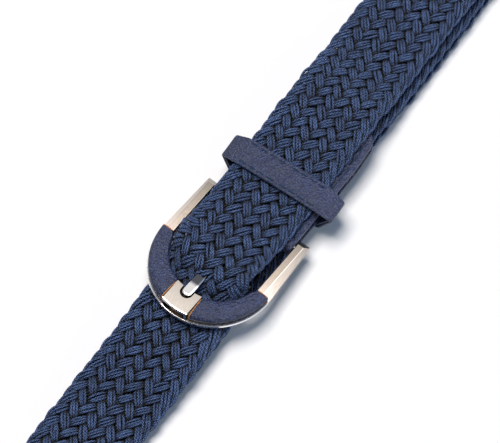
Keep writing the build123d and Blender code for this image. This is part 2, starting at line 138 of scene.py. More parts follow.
def climbSteps(y):
    # up from under the curve, over the crest by the bar and onto the front run
    w = beltWay
    rise, fall, tilt = (radians(w[k]) for k in ("climbAngle", "crestAngle", "buckleTilt"))
    start = -curveReach(y) * cos(tilt) - w["climbLead"]
    height = upperZ - underCurveZ() + w["crestRadius"] * (1 - cos(fall))
    height -= w["climbRadius"] * (1 - cos(rise))
    height -= w["climbTopRadius"] * (cos(fall) - cos(rise))
    length = w["crestX"] - start - w["crestRadius"] * sin(fall)
    length -= w["climbRadius"] * sin(rise)
    length -= w["climbTopRadius"] * (sin(rise) + sin(fall))
    slope = (height * cos(fall) + length * sin(fall)) / sin(rise + fall)
    crest = (length * sin(rise) - height * cos(rise)) / sin(rise + fall)
    return [
        ("line", start - w["liftEndX"], 0),
        ("arc", w["climbRadius"], w["climbAngle"]),
        ("line", slope, 0),
        ("arc", w["climbTopRadius"], -w["climbAngle"] - w["crestAngle"]),
        ("line", crest, 0),
        ("arc", w["crestRadius"], w["crestAngle"]),
        ("line", frontStartX - w["crestX"], 0),
    ]


def stepDown(drop):
    radius = beltWay["stepRadius"]
    angle = degrees(acos(1 - drop / (2 * radius)))
    reach = 2 * radius * sin(radians(angle))
    return [("arc", radius, -angle), ("arc", radius, angle)], reach


# how many steps come before each stretch
stepsBefore = {"rightBend": 4, "floor": 7, "leftBend": 8, "front": 11, "lift": 12, "climb": 13}


def beltSteps(y):
    # the whole strap from the tab, round both ends and back to the tip, at one place across it
    w = beltWay
    back = radians(w["returnAngle"])
    centreX = loopHalf - strapThick / 2 - w["bendRadius"]
    radii = w["bendRadius"] + w["returnRadius"]
    height = 2 * w["bendRadius"] - (lowerZ - floorZ)
    straight = (height - radii * (1 - cos(back))) / sin(back)
    returnX = centreX - radii * sin(back) - straight * cos(back)
    tabStep, tabReach = stepDown(barZ - lowerZ)
    tailStep, tailReach = stepDown(upperZ - tailZ)
    returning = ("arc", w["returnRadius"], w["returnAngle"])
    bend = ("arc", w["bendRadius"], -180 - w["returnAngle"])
    return [
        ("line", w["tabEndX"] - w["startX"], 0), *tabStep,
        ("line", returnX - w["tabEndX"] - tabReach, 0), returning, ("line", straight, 0), bend,
        ("line", 2 * centreX, 0), bend, ("line", straight, 0), returning,
        ("line", liftStartX + returnX, 0),
        ("line", w["liftEndX"] - liftStartX, underCurveZ() - lowerZ), *climbSteps(y),
        ("line", w["tabEndX"] - frontStartX, 0), *tailStep,
        ("line", strapEndX - w["tabEndX"] - tailReach, 0),
    ]


def walkSteps(steps, x, z, stepCounts):
    # points and headings along arcs and along lines, which may rise in an eased way
    heading, points = 0.0, []
    for (kind, size, change), count in zip(steps, stepCounts):
        shares = np.linspace(0, 1, count, endpoint=False)
        h = radians(heading)
        if kind == "arc":
            radius = size if change > 0 else -size
            cx, cz = x - radius * sin(h), z + radius * cos(h)
            angles = [h + t * radians(change) for t in (*shares, 1.0)]
            arc = [(cx + radius * sin(a), cz - radius * cos(a), a) for a in angles]
            points += arc[:-1]
            x, z, heading = arc[-1][0], arc[-1][1], heading + change
        else:
            for t in shares:
                slope = atan(6 * t * (1 - t) * change / size)
                eased = change * t * t * (3 - 2 * t)
                points.append((x + t * size * cos(h), z + t * size * sin(h) + eased, h + slope))
            x, z = x + size * cos(h), z + size * sin(h) + change
    points.append((x, z, radians(heading)))
    return np.array(points)


def stepLength(kind, size, change):
    return radians(abs(change)) * size if kind == "arc" else size


middleSteps = beltSteps(upperY)
stepCounts = [
    max(beltWay["fewestRows"], int(stepLength(*step) / beltWay["rowSpacing"])) for step in middleSteps
]
middleWay = walkSteps(middleSteps, beltWay["startX"], barZ, stepCounts)
wayLength = np.concatenate(
    [[0], np.cumsum(np.hypot(np.diff(middleWay[:, 0]), np.diff(middleWay[:, 1])))])
acrossHalf, acrossCount = beltWay["acrossHalf"], beltWay["acrossCount"]
acrossPlaces = np.linspace(-acrossHalf, acrossHalf, acrossCount) + loopY
wayTable = np.stack(
    [walkSteps(beltSteps(y), beltWay["startX"], barZ, stepCounts) for y in acrossPlaces], axis=1)
rowOf = {name: sum(stepCounts[:count]) for name, count in stepsBefore.items()}
print("strap length", round(float(wayLength[-1])), "mm in", len(wayLength), "places")


def lengthAtX(x, first, last=None):
    # how far along the strap a place is that lies between two named rows
    rows = slice(rowOf[first], rowOf.get(last))
    xs, lengths = middleWay[rows, 0], wayLength[rows]
    order = np.argsort(xs)
    return float(np.interp(x, xs[order], lengths[order]))


def smoothed(values, rounds):
    for again in range(rounds):
        values[1:-1] = (values[:-2] + 2 * values[1:-1] + values[2:]) / 4
    return values


def wander(along):
    # the sideways place of the strap's middle, along its way
    xs = np.interp(along, wayLength, middleWay[:, 0])
    front = np.interp(xs, beltWay["wanderX"], beltWay["wanderY"])
    floor = np.interp(xs, beltWay["floorWanderX"], beltWay["floorWanderY"])
    onFloor = (along > wayLength[rowOf["floor"]]) & (along < wayLength[rowOf["leftBend"]])
    return np.where(along > wayLength[rowOf["front"]], front, np.where(onFloor, floor, 0.0))


wanderGrid = smoothed(wander(wayLength), beltWay["wanderRounds"])


def onBelt(along, across, proud):
    # from a place in the flat braid to a place on the laid strap, all in millimetres
    y = across + loopY + np.interp(along, wayLength, wanderGrid)
    row = np.interp(along, wayLength, np.arange(len(wayLength)))
    col = np.clip((y - acrossPlaces[0]) / (acrossPlaces[1] - acrossPlaces[0]), 0, acrossCount - 1.001)
    r0 = np.clip(row.astype(int), 0, len(wayLength) - 2)
    c0 = col.astype(int)
    fr, fc = (row - r0)[..., None], (col - c0)[..., None]
    place = (
        wayTable[r0, c0] * (1 - fr) * (1 - fc) + wayTable[r0 + 1, c0] * fr * (1 - fc)
        + wayTable[r0, c0 + 1] * (1 - fr) * fc + wayTable[r0 + 1, c0 + 1] * fr * fc
    )
    x = place[..., 0] - proud * np.sin(place[..., 2])
    z = place[..., 1] + proud * np.cos(place[..., 2])
    return np.stack([x, y, z], axis=-1)


# the braid

braidLook = {
    "strandCount": 17,
    "cordsInStrand": 3,
    "pitch": 5.2,
    "pitchAtTip": 4.85,
    "pitchChangeX": (-10, 30),
    "halfReach": 15.0,
    "edgeRoundness": 0.985,
    "layerHeight": 0.95,
    "dive": 1.35,
    "cordSpacing": 1.0,
    "cordWide": 0.49,
    "cordHigh": 0.66,
    "squeeze": 0.24,
    "wobble": 0.24,
    "wobbleRates": (0.7, 2.6),
    "wobbleLift": 0.5,
    "floatJitter": 0.2,
    "jitterRates": (1.7, 2.4),
    "crown": 0.08,
    # where the painted shade between the cords eases off towards the strap's edges
    "edgeStart": 14.2,
    "edgeRound": 1.4,
    "edgeProud": 0.6,
    "seed": 11,
    # where the pattern of one strand and of one cord starts, so that no two are alike
    "strandShift": 37.0,
    "cordShift": 5.3,
    # rings past a piece's ends that only steady its directions, and rings shared with the next
    "spareRings": 2,
    "overlapRings": 1,
}
# how many pitches a strand is into its own round, and how often it has changed between over and
# under by then, with a longer float where it goes round an edge
strandTurns = (-0.75, 0.75, 7.75, 9.25, 16.25, 17.75)
strandWaves = (-1, 0, 7, 8, 15, 16)


def pitchGrid():
    # how many pitches of the braid lie before each place along the strap
    b = braidLook
    first, last = b["pitchChangeX"]
    onFront = wayLength > wayLength[rowOf["climb"]]
    share = np.clip((middleWay[:, 0] - first) / (last - first), 0, 1) * onFront
    pitch = b["pitch"] + share * (b["pitchAtTip"] - b["pitch"])
    steps = np.diff(wayLength) / ((pitch[:-1] + pitch[1:]) / 2)
    return np.concatenate([[0], np.cumsum(steps)])


pitchesBefore = pitchGrid()
braidRandom = np.random.default_rng(braidLook["seed"])
cordCount = braidLook["strandCount"] * braidLook["cordsInStrand"]
wobblePhase = braidRandom.uniform(0, 2 * pi, (cordCount, 3, 3))
wobbleRate = braidRandom.uniform(*braidLook["wobbleRates"], (cordCount, 3, 3))


def wobbleOf(cord, turns):
    waves = np.sin(turns[:, None, None] * wobbleRate[cord] + wobblePhase[cord])
    return waves.mean(axis=2) * braidLook["wobble"]


def cordLine(strand, cord, turns):
    # one cord of one strand in the flat braid: along, across, proud
    b = braidLook
    own = (turns - strand) % b["strandCount"]
    along = np.interp(turns, pitchesBefore, wayLength)
    swing = b["edgeRoundness"] * np.cos(2 * pi * own / b["strandCount"])
    across = b["halfReach"] * np.arcsin(swing) / asin(b["edgeRoundness"])
    wave = pi * np.interp(own, strandTurns, strandWaves)
    over = np.tanh(b["dive"] * np.cos(wave)) / tanh(b["dive"])
    lean = np.sin(turns * b["jitterRates"][0] + strand * b["jitterRates"][1]) * b["floatJitter"]
    aheadAlong, aheadAcross = np.gradient(along), np.gradient(across)
    size = np.hypot(aheadAlong, aheadAcross)
    spread = b["cordSpacing"] * (1 - b["squeeze"] * (1 - over ** 2)) * (cord - 1)
    wobbled = wobbleOf(strand * b["cordsInStrand"] + cord, turns)
    return np.stack([
        along - spread * aheadAcross / size + wobbled[:, 0],
        across + spread * aheadAlong / size + wobbled[:, 1] + lean,
        b["layerHeight"] * over + b["wobbleLift"] * wobbled[:, 2] + b["crown"] * (cord == 1),
    ], axis=1)


def cordTube(line, sides):
    # rings round a line in the flat braid, laid onto the strap's way afterwards
    ahead = np.gradient(line, axis=0)
    ahead /= np.linalg.norm(ahead, axis=1)[:, None]
    aside = np.cross(np.array([0.0, 0.0, 1.0]), ahead)
    aside /= np.linalg.norm(aside, axis=1)[:, None]
    up = np.cross(ahead, aside)
    angles = np.linspace(0, 2 * pi, sides, endpoint=False)
    wide = braidLook["cordWide"] * np.cos(angles)[None, :, None]
    high = braidLook["cordHigh"] * np.sin(angles)[None, :, None]
    return line[:, None, :] + aside[:, None, :] * wide + up[:, None, :] * high


prongWay = {
    "rise": 10.8,
    "halfWide": 1.9,
    "halfHigh": 0.95,
    "room": 0.7,
    "length": 39.6,
    "fade": 3.0,
    "nearBy": 3.0,
    "mostPush": 30.0,
    "rounds": 2,
}


def partRoundProng(centres):
    # how far each place of a cord moves aside so that the prong passes between the cords
    p = prongWay
    rise, turn = radians(p["rise"]), radians(beltWay["buckleTurn"])
    flat = cos(rise)
    ahead = np.array([-cos(turn) * flat, -sin(turn) * flat, sin(rise)])
    aside = np.array([-sin(turn), cos(turn), 0.0])
    up = np.cross(aside, ahead)
    up *= np.sign(up[2])
    fromBar = centres - np.array([0.0, barY, barZ])
    a, b, c = fromBar @ ahead, fromBar @ aside, fromBar @ up
    nearness = np.clip((p["length"] + p["fade"] - a) / p["fade"], 0, 1) * np.clip(a / p["fade"], 0, 1)
    reach = np.hypot(b / (p["halfWide"] + p["room"]), c / (p["halfHigh"] + p["room"])) + 1e-4
    push = ((reach ** 4 + 1) ** 0.25 / reach - 1) * nearness * (reach < p["nearBy"])
    push = np.minimum(push, p["mostPush"])
    return smoothed(np.outer(b * push, aside) + np.outer(c * push, up), p["rounds"])


def cordsOfPiece(turns, sides):
    # every cord's rings on the laid strap, with its length so far and how proud each place lies
    b = braidLook
    for strand in range(b["strandCount"]):
        for cord in range(b["cordsInStrand"]):
            line = cordLine(strand, cord, turns)
            rings = cordTube(line, sides)
            placed = onBelt(rings[..., 0], rings[..., 1], rings[..., 2])
            placed += partRoundProng(onBelt(line[:, 0], line[:, 1], line[:, 2]))[:, None, :]
            steps = np.linalg.norm(np.diff(line, axis=0), axis=1)
            shift = b["strandShift"] * strand + b["cordShift"] * cord
            runs = np.concatenate([[0], np.cumsum(steps)]) + shift
            # how proud each place lies is the mask of the painted shade in the cord material; towards
            # the strap's edges it is raised so that less painted shade falls there
            proud = np.abs(rings[..., 2]) / b["layerHeight"]
            edge = (np.abs(rings[..., 1]) - b["edgeStart"]) / b["edgeRound"]
            proud = np.maximum(proud, b["edgeProud"] + edge)
            kept = slice(b["spareRings"], -b["spareRings"])
            yield placed[kept] * mm, runs[kept], proud[kept]


def braidPiece(name, startLength, endLength, ringsPerPitch, sides):
    firstTurn, lastTurn = np.interp([startLength, endLength], wayLength, pitchesBefore)
    first = ceil(firstTurn * ringsPerPitch - 1e-6)
    last = int(lastTurn * ringsPerPitch + 1e-6)
    spare, overlap = braidLook["spareRings"], braidLook["overlapRings"]
    turns = np.arange(first - spare, last + spare + overlap + 1) / ringsPerPitch
    verts, faces, uvs, depths = [], [], [], []
    for placed, runs, proud in cordsOfPiece(turns, sides):
        count, base = len(placed), len(verts)
        verts.extend(placed.reshape(-1, 3).tolist())
        depths.append(proud.ravel())
        for i in range(count - 1):
            low, high = base + i * sides, base + (i + 1) * sides
            for a in range(sides):
                b, left, right = (a + 1) % sides, a / sides, (a + 1) / sides
                faces.append((low + a, low + b, high + b, high + a))
                uvs += [(runs[i], left), (runs[i], right), (runs[i + 1], right), (runs[i + 1], left)]
        faces.append(tuple(base + a for a in reversed(range(sides))))
        faces.append(tuple(base + (count - 1) * sides + a for a in range(sides)))
        uvs += [(runs[0], 0.0)] * sides + [(runs[-1], 0.0)] * sides
    mesh = bpy.data.meshes.new(name)
    mesh.from_pydata(verts, [], faces)
    layer = mesh.uv_layers.new(name="UVMap")
    layer.data.foreach_set("uv", np.asarray(uvs, dtype=np.float32).ravel())
    mesh.validate()
    mesh.update()
    piece = bpy.data.objects.new(name, mesh)
    bpy.context.scene.collection.objects.link(piece)
    proudness = mesh.attributes.new("proud", "FLOAT", "POINT")
    proudness.data.foreach_set("value", np.concatenate(depths).astype(np.float32))
    mesh.polygons.foreach_set("use_smooth", [True] * len(mesh.polygons))
    print(name, len(faces), "faces")
    return piece


# materials

def fillSockets(node, sockets):
    # each socket takes a constant or another node's output
    for socket, value in sockets.items():
        if isinstance(value, bpy.types.NodeSocket):
            node.id_data.links.new(value, node.inputs[socket])
        else:
            node.inputs[socket].default_value = value


def addNode(nodes, kind, sockets=None, **settings):
    node = nodes.new("ShaderNode" + kind)
    for setting, value in settings.items():
        setattr(node, setting, value)
    fillSockets(node, sockets or {})
    return node


def newMaterial(name, sockets):
    material = bpy.data.materials.new(name)
    material.use_nodes = True
    nodes = material.node_tree.nodes
    shader = nodes["Principled BSDF"]
    fillSockets(shader, sockets)
    return material, nodes, shader


def objectPlace(nodes):
    return addNode(nodes, "TexCoord").outputs["Object"]


def noise(nodes, place, scale, detail):
    sockets = {"Vector": place, "Scale": scale, "Detail": detail}
    return addNode(nodes, "TexNoise", sockets).outputs["Fac"]


def timesPlus(nodes, value, times, plus):
    return addNode(nodes, "Math", {0: value, 1: times, 2: plus}, operation="MULTIPLY_ADD").outputs[0]


def product(nodes, first, second):
    return addNode(nodes, "Math", {0: first, 1: second}, operation="MULTIPLY").outputs[0]


def remapped(nodes, value, fromRange, toRange=(0.0, 1.0), ease="LINEAR"):
    sockets = {"Value": value, "From Min": fromRange[0], "From Max": fromRange[1]}
    sockets.update({"To Min": toRange[0], "To Max": toRange[1]})
    return addNode(nodes, "MapRange", sockets, interpolation_type=ease).outputs["Result"]


def colourStops(nodes, value, stops):
    # stops are pairs of a position and a colour
    node = addNode(nodes, "ValToRGB", {"Fac": value})
    elements = node.color_ramp.elements
    while len(elements) < len(stops):
        elements.new(0.5)
    for element, (position, colour) in zip(elements, stops):
        element.position = position
        element.color = (*colour, 1)
    return node.outputs["Color"]


def shaded(nodes, colour, shade):
    sockets = {0: 1.0, 6: colour, 7: shade}
    return addNode(nodes, "Mix", sockets, data_type="RGBA", blend_type="MULTIPLY").outputs[2]


def raised(nodes, height, strength, distance):
    sockets = {"Height": height, "Strength": strength, "Distance": distance}
    return addNode(nodes, "Bump", sockets).outputs["Normal"]


cordFinish = {
    "surface": {
        "Roughness": 0.62, "Sheen Weight": 0.04, "Sheen Roughness": 0.4, "Specular IOR Level": 0.24,
    },
    # the small stitches of the yarn, two slanted waves across the cord's own UV map
    "stitchStretch": (1.0, 3.4, 1.0),
    "stitchSlants": (45, -45),
    "stitchScale": 0.42,
    "stitchWeight": 1.1,
    "fuzz": (1050.0, 2.0),
    "patches": (170.0, 3.0),
    "patchShade": (0.9, 0.55),
    "colours": ((0.50, (0.003, 0.007, 0.022)), (1.0, (0.086, 0.142, 0.305))),
    # how proud a place lies, and the share of its colour that it keeps: painted shade on the low places
    # between and under the cords
    "proudRange": (0.78, 1.62),
    "paintedShadeRange": (0.02, 1.0),
    "bump": (0.9, 0.0002),
}


def cordMaterial():
    f = cordFinish
    material, nodes, shader = newMaterial("navyCord", f["surface"])
    uv = addNode(nodes, "UVMap", uv_map="UVMap").outputs["UV"]
    waves = []
    for slant in f["stitchSlants"]:
        sockets = {"Vector": uv, "Scale": f["stitchStretch"], "Rotation": (0, 0, radians(slant))}
        slanted = addNode(nodes, "Mapping", sockets).outputs["Vector"]
        sockets = {"Vector": slanted, "Scale": f["stitchScale"]}
        waves.append(addNode(nodes, "TexWave", sockets).outputs["Fac"])
    place = objectPlace(nodes)
    fuzz, patches = noise(nodes, place, *f["fuzz"]), noise(nodes, place, *f["patches"])
    tone = timesPlus(nodes, product(nodes, *waves), f["stitchWeight"], fuzz)
    proud = addNode(nodes, "Attribute", attribute_name="proud").outputs["Fac"]
    # painted shade: the low places between and under the cords are darkened
    paintedShade = remapped(nodes, proud, f["proudRange"], f["paintedShadeRange"])
    shade = product(nodes, timesPlus(nodes, patches, *f["patchShade"]), paintedShade)
    fillSockets(shader, {
        "Base Color": shaded(nodes, colourStops(nodes, tone, f["colours"]), shade),
        "Normal": raised(nodes, tone, *f["bump"]),
    })
    return material


leatherFinish = {
    "shine": 0.5,
    "pebbleScale": 1250.0,
    "pebbleDepth": -0.9,
    "wrinkles": (520.0, 5.0),
    "patches": (90.0, 2.0),
    "patchShade": (0.7, 0.62),
    "colours": ((0.0, (0.006, 0.012, 0.045)), (0.5, (0.018, 0.033, 0.112))),
    "roughness": (0.6, 0.12),
    "bump": (1.0, 0.0005),
}


def leatherMaterial():
    f = leatherFinish
    material, nodes, shader = newMaterial("navyLeather", {"Specular IOR Level": f["shine"]})
    place = objectPlace(nodes)
    pebbles = addNode(nodes, "TexVoronoi", {"Vector": place, "Scale": f["pebbleScale"]}, feature="F1")
    wrinkles, patches = noise(nodes, place, *f["wrinkles"]), noise(nodes, place, *f["patches"])
    height = timesPlus(nodes, pebbles.outputs["Distance"], f["pebbleDepth"], wrinkles)
    shade = timesPlus(nodes, patches, *f["patchShade"])
    fillSockets(shader, {
        "Base Color": shaded(nodes, colourStops(nodes, height, f["colours"]), shade),
        "Roughness": remapped(nodes, height, (0.0, 1.0), f["roughness"]),
        "Normal": raised(nodes, height, *f["bump"]),
    })
    return material


metalFinish = {
    # fine lines drawn out along the belt, and how much they dim and roughen a brushed metal
    "drawn": (0.02, 1.0, 1.0),
    "lines": (5200.0, 2.0),
    "lineGain": 0.35,
    "lineDim": 0.22,
    "lineRoughness": 0.10,
    # each metal's colours at places along the belt, which are painted reflection and painted shade,
    # then roughness and brushing, then how far a hollow reaches and between which shares of open sky
    # its colour darkens as painted shade
    # painted reflection and shade: the frame lighter by the covers and darker towards the bar, the rest
    # lighter at its outer end, the prong bright at its tip and dark where it dips under the braid; the
    # bar keeps one colour
    "satinNickel": ((
        (-23.0, (0.90, 0.90, 0.91)), (-21.0, (0.98, 0.83, 0.72)), (-14.0, (0.72, 0.61, 0.52)),
        (-4.0, (0.52, 0.45, 0.39)), (3.0, (0.36, 0.32, 0.28)),
    ), 0.16, 1.0, (1.4, 0.22, 0.6)),
    "champagneNickel": (
        ((-46.0, (0.98, 0.88, 0.80)), (-36.0, (0.70, 0.64, 0.58))), 0.14, 0.5, (2.8, 0.42, 0.82)),
    "polishedNickel": (
        ((-34.2, (0.94, 0.94, 0.95)), (-32.8, (0.10, 0.11, 0.13))), 0.10, 0.0, (1.4, 0.22, 0.6)),
    "barNickel": (
        ((-2.0, (0.80, 0.79, 0.78)), (2.0, (0.80, 0.79, 0.78))), 0.15, 0.3, (1.4, 0.22, 0.6)),
    "paintedHollowShade": 0.04,
}


def metalMaterial(name):
    f = metalFinish
    tints, roughness, brushed, (hollowReach, *hollowRange) = f[name]
    material, nodes, shader = newMaterial(name, {"Metallic": 1.0})
    place = objectPlace(nodes)
    drawn = addNode(nodes, "Mapping", {"Vector": place, "Scale": f["drawn"]}).outputs["Vector"]
    lines = noise(nodes, drawn, *f["lines"])
    first, last = tints[0][0], tints[-1][0]
    along = addNode(nodes, "SeparateXYZ", {"Vector": place}).outputs["X"]
    # painted reflection and shade: the colour is set by the place along the belt
    share = remapped(nodes, along, (first * mm, last * mm))
    stops = [((x - first) / (last - first), colour) for x, colour in tints]
    streaks = timesPlus(nodes, lines, f["lineGain"] * brushed, 1 - f["lineDim"] * brushed)
    # painted shade: the colour darkens in hollows that see little open sky
    openness = addNode(nodes, "AmbientOcclusion", {"Distance": hollowReach * mm}).outputs["AO"]
    paintedShade = remapped(nodes, openness, hollowRange, (f["paintedHollowShade"], 1.0))
    fillSockets(shader, {
        "Base Color": shaded(nodes, colourStops(nodes, share, stops), product(nodes, streaks, paintedShade)),
        "Roughness": timesPlus(nodes, lines, f["lineRoughness"] * brushed, roughness),
    })
    return material


plainFinish = {"shine": 0.15, "darker": 0.6, "lighter": 1.3, "detail": 3.0}


def plainMaterial(name, colour, roughness, grain):
    f = plainFinish
    sockets = {"Roughness": roughness, "Specular IOR Level": f["shine"]}
    material, nodes, shader = newMaterial(name, sockets)
    stops = [
        (place, [min(1, part * share) for part in colour])
        for place, share in ((0.0, f["darker"]), (1.0, f["lighter"]))
    ]
    speckle = noise(nodes, objectPlace(nodes), grain, f["detail"])
    fillSockets(shader, {"Base Color": colourStops(nodes, speckle, stops)})
    return material


cordNavy = cordMaterial()
leatherNavy = leatherMaterial()
satinMetal, champagneMetal, polishedMetal, barMetal = (
    metalMaterial(name) for name in ("satinNickel", "champagneNickel", "polishedNickel", "barNickel"))
threadTeal = plainMaterial("tealThread", (0.010, 0.030, 0.062), 0.7, 3000.0)
edgeTan = plainMaterial("cutLeatherEdge", (0.42, 0.17, 0.045), 0.6, 2500.0)
edgeGrey = plainMaterial("sealedLeatherEdge", (0.09, 0.11, 0.16), 0.35, 2500.0)
boardFiller = plainMaterial("fillerBoard", (0.25, 0.20, 0.15), 0.9, 900.0)


def dress(piece, material, edge=None, side=(0, 1, 0)):
    # faces that look sideways, the cut edges of a strip, take their own material
    piece.data.materials.clear()
    piece.data.materials.append(material)
    if edge:
        piece.data.materials.append(edge)
        for face in piece.data.polygons:
            face.material_index = int(abs(face.normal.dot(Vector(side))) > 0.8)


nodeFinish = {
    "buckle_frame": satinMetal, "buckle_bar": barMetal, "prong_rest": champagneMetal,
    "prong": polishedMetal, "keeper_staple": barMetal,
    "cover_core_left": boardFiller, "cover_core_right": boardFiller,
}
for name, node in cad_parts.items():
    dress(node, nodeFinish.get(name, threadTeal if name.endswith("thread") else leatherNavy))
print("materials made")


# braid pieces, cut where the strap bends, stretches or passes the buckle

braidCuts = {
    "endMargin": 3.0,
    "pastRightBend": 24.0,
    "underCurveX": -45.0,
    "liftBlendX": (-79.0, -47.0),
    "buckleBlendX": (4.0, -43.0),
    "tailBlendInset": 1.0,
    # rings in a pitch of the braid and sides round a cord, fewer where nothing shows
    "shownRings": (8, 8),
    "hiddenRings": (6, 6),
}


def makeBraid():
    c = braidCuts
    stretchBox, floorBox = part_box("strap_front_stretch"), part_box("strap_floor_stretch")
    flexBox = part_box("strap_tail_flex")
    rightTurn = wayLength[rowOf["rightBend"]]
    floorStart = wayLength[rowOf["floor"]] + c["pastRightBend"]
    floorStretch, leftStart = (
        lengthAtX(floorBox[end].x / mm, "floor", "leftBend") for end in (1, 0))
    leftEnd = lengthAtX(stretchBox[0].x / mm, "front", "lift")
    liftStart = wayLength[rowOf["lift"]]
    underCurve, frontStart, tailStart = (
        lengthAtX(x, "lift") for x in (c["underCurveX"], frontStartX, flexBox[0].x / mm))
    tailEnd = float(wayLength[-1]) - c["endMargin"]
    pieces = {
        "braidTabEnd": (c["endMargin"], rightTurn, ["strap_buckle_end"]),
        "braidRightBend": (rightTurn, floorStart, ["strap_right_bend"]),
        "braidFloor": (floorStart, floorStretch, ["strap_floor_run"]),
        "braidFloorStretch": (floorStretch, leftStart, ["strap_floor_stretch"]),
        "braidLeftBend": (leftStart, leftEnd, ["strap_left_bend"]),
        "braidFrontStretch": (leftEnd, liftStart, ["strap_front_stretch"]),
        "braidLift": (liftStart, underCurve, []),
        "braidInBuckle": (underCurve, frontStart, ["strap_in_buckle"]),
        "braidFront": (frontStart, tailStart, ["strap_front_run"]),
        "braidTail": (tailStart, tailEnd, ["strap_tail_flex", "strap_tail"]),
    }
    # soft pieces that keep their laid place and ride on no body; the body and two places listed for
    # each are not used
    stretched = ("left_end", stretchBox[1].x, stretchBox[0].x)
    blends = {
        "braidFloorStretch": stretched, "braidLeftBend": stretched, "braidFrontStretch": stretched,
        "braidLift": ("buckle", *(x * mm for x in c["liftBlendX"])),
        "braidInBuckle": ("buckle", *(x * mm for x in c["buckleBlendX"])),
        "braidTail": ("tail", flexBox[0].x + c["tailBlendInset"] * mm, flexBox[1].x),
    }
    for name, (start, end, replaced) in pieces.items():
        hidden = name in ("braidFloor", "braidFloorStretch")
        piece = braidPiece(name, start, end, *c["hiddenRings" if hidden else "shownRings"])
        dress(piece, cordNavy)
        if name in blends:
            body, startX, endX = blends[name]
            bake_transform(piece)
        else:
            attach(piece, "belt")
        if replaced:
            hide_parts(*replaced)


makeBraid()


# leather pieces, each a section drawn out along its way

planes = {
    "XY": (Vector((1, 0, 0)), Vector((0, 1, 0)), "Z", -1),
    "XZ": (Vector((1, 0, 0)), Vector((0, 0, 1)), "Y", 1),
    "YZ": (Vector((0, 1, 0)), Vector((0, 0, 1)), "X", -1),
}


def pick(*picked):
    # deselects all, then selects these with the first one active
    bpy.ops.object.select_all(action="DESELECT")
    for piece in picked:
        piece.select_set(True)
    bpy.context.view_layer.objects.active = picked[0]


def added(operator, **settings):
    bpy.ops.object.select_all(action="DESELECT")
    operator(**settings)
    return bpy.context.active_object


def mode(name):
    bpy.ops.object.mode_set(mode=name)


def keepPlace():
    bpy.ops.object.transform_apply(location=True, rotation=True, scale=True)


def bentPath(corners, radii, arcSteps):
    # stops along a line with rounded corners, each a place in its plane and a heading
    points = np.array(corners, dtype=float)
    legs = np.diff(points, axis=0)
    headings = np.unwrap(np.arctan2(legs[:, 1], legs[:, 0]))
    stops = [(*points[0], headings[0])]
    for i, radius in enumerate(radii):
        before, turn = headings[i], headings[i + 1] - headings[i]
        cut = radius * tan(abs(turn) / 2)
        side = 1 if turn > 0 else -1
        start = points[i + 1] - cut * legs[i] / np.linalg.norm(legs[i])
        centre = start + side * radius * np.array([-sin(before), cos(before)])
        for k in range(arcSteps + 1):
            h = before + turn * k / arcSteps
            stops.append((*(centre + side * radius * np.array([sin(h), -cos(h)])), h))
    stops.append((*points[-1], headings[-1]))
    return stops


def spotOf(plane, stop):
    along, rise = planes[plane][:2]
    return float(stop[0]) * along + float(stop[1]) * rise


def sectionFrame(plane, stop):
    along, rise = planes[plane][:2]
    aside = -sin(stop[2]) * along + cos(stop[2]) * rise
    return aside, along.cross(rise), cos(stop[2]) * along + sin(stop[2]) * rise


def startSection(name, plane, stop, size, corner):
    # the first section: a flat face with rounded corners, or a soft oval where no corner is given
    piece = added(bpy.ops.mesh.primitive_plane_add, size=1)
    piece.name = name
    mode("EDIT")
    if corner:
        bpy.ops.transform.resize(value=(size[0], size[1], 1))
        bpy.ops.mesh.bevel(offset=corner, segments=3, affect="VERTICES")
    else:
        bpy.ops.mesh.subdivide(number_cuts=5)
        bpy.ops.transform.tosphere(value=0.72)
        bpy.ops.transform.resize(value=(size[0], size[1], 1))
    mode("OBJECT")
    turned = Matrix(sectionFrame(plane, stop)).transposed().to_4x4()
    piece.matrix_world = Matrix.Translation(spotOf(plane, stop)) @ turned
    keepPlace()
    return piece


def drawOut(name, plane, stops, sizes, corner=0.0):
    # sizes are the section's width in the plane of the way and its width across that plane
    axis, sign = planes[plane][2:]
    piece = startSection(name, plane, stops[0], sizes[0], corner)
    mode("EDIT")
    bpy.ops.mesh.select_all(action="SELECT")
    for before, after, old, new in zip(stops, stops[1:], sizes, sizes[1:]):
        place = spotOf(plane, after)
        step = place - spotOf(plane, before)
        bpy.ops.mesh.extrude_region_move(TRANSFORM_OT_translate={"value": step})
        if after[2] != before[2]:
            bpy.ops.transform.rotate(
                value=sign * (after[2] - before[2]), orient_axis=axis, center_override=place)
        if old != new:
            bpy.ops.transform.resize(
                value=(new[0] / old[0], new[1] / old[1], 1), orient_type="GLOBAL",
                orient_matrix=[tuple(a) for a in sectionFrame(plane, after)],
                orient_matrix_type="GLOBAL", center_override=place)
    bpy.ops.mesh.select_all(action="SELECT")
    bpy.ops.mesh.normals_make_consistent(inside=False)
    mode("OBJECT")
    return piece


def settle(piece, place, turns=(0, 0, 0), smooth=40):
    # from millimetres about the piece's own origin to its place on the belt
    piece.scale = (mm, mm, mm)
    piece.rotation_euler = [radians(a) for a in turns]
    piece.location = Vector(place) * mm
    pick(piece)
    keepPlace()
    bpy.ops.object.shade_smooth_by_angle(angle=radians(smooth))
    return piece


def joinAll(name, parts):
    pick(*parts)
    bpy.ops.object.join()
    joined = bpy.context.active_object
    joined.name = name
    return joined


def fit(piece, body, replaced, material, edge=None, side=(0, 1, 0)):
    # the piece's finish, the body it rides on and the node it stands for, if any
    dress(piece, material, edge, side)
    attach(piece, body)
    if replaced:
        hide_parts(replaced)


stitch = {"length": 3.0, "pitch": 3.8, "width": 0.55, "height": 0.42, "proud": 0.03}


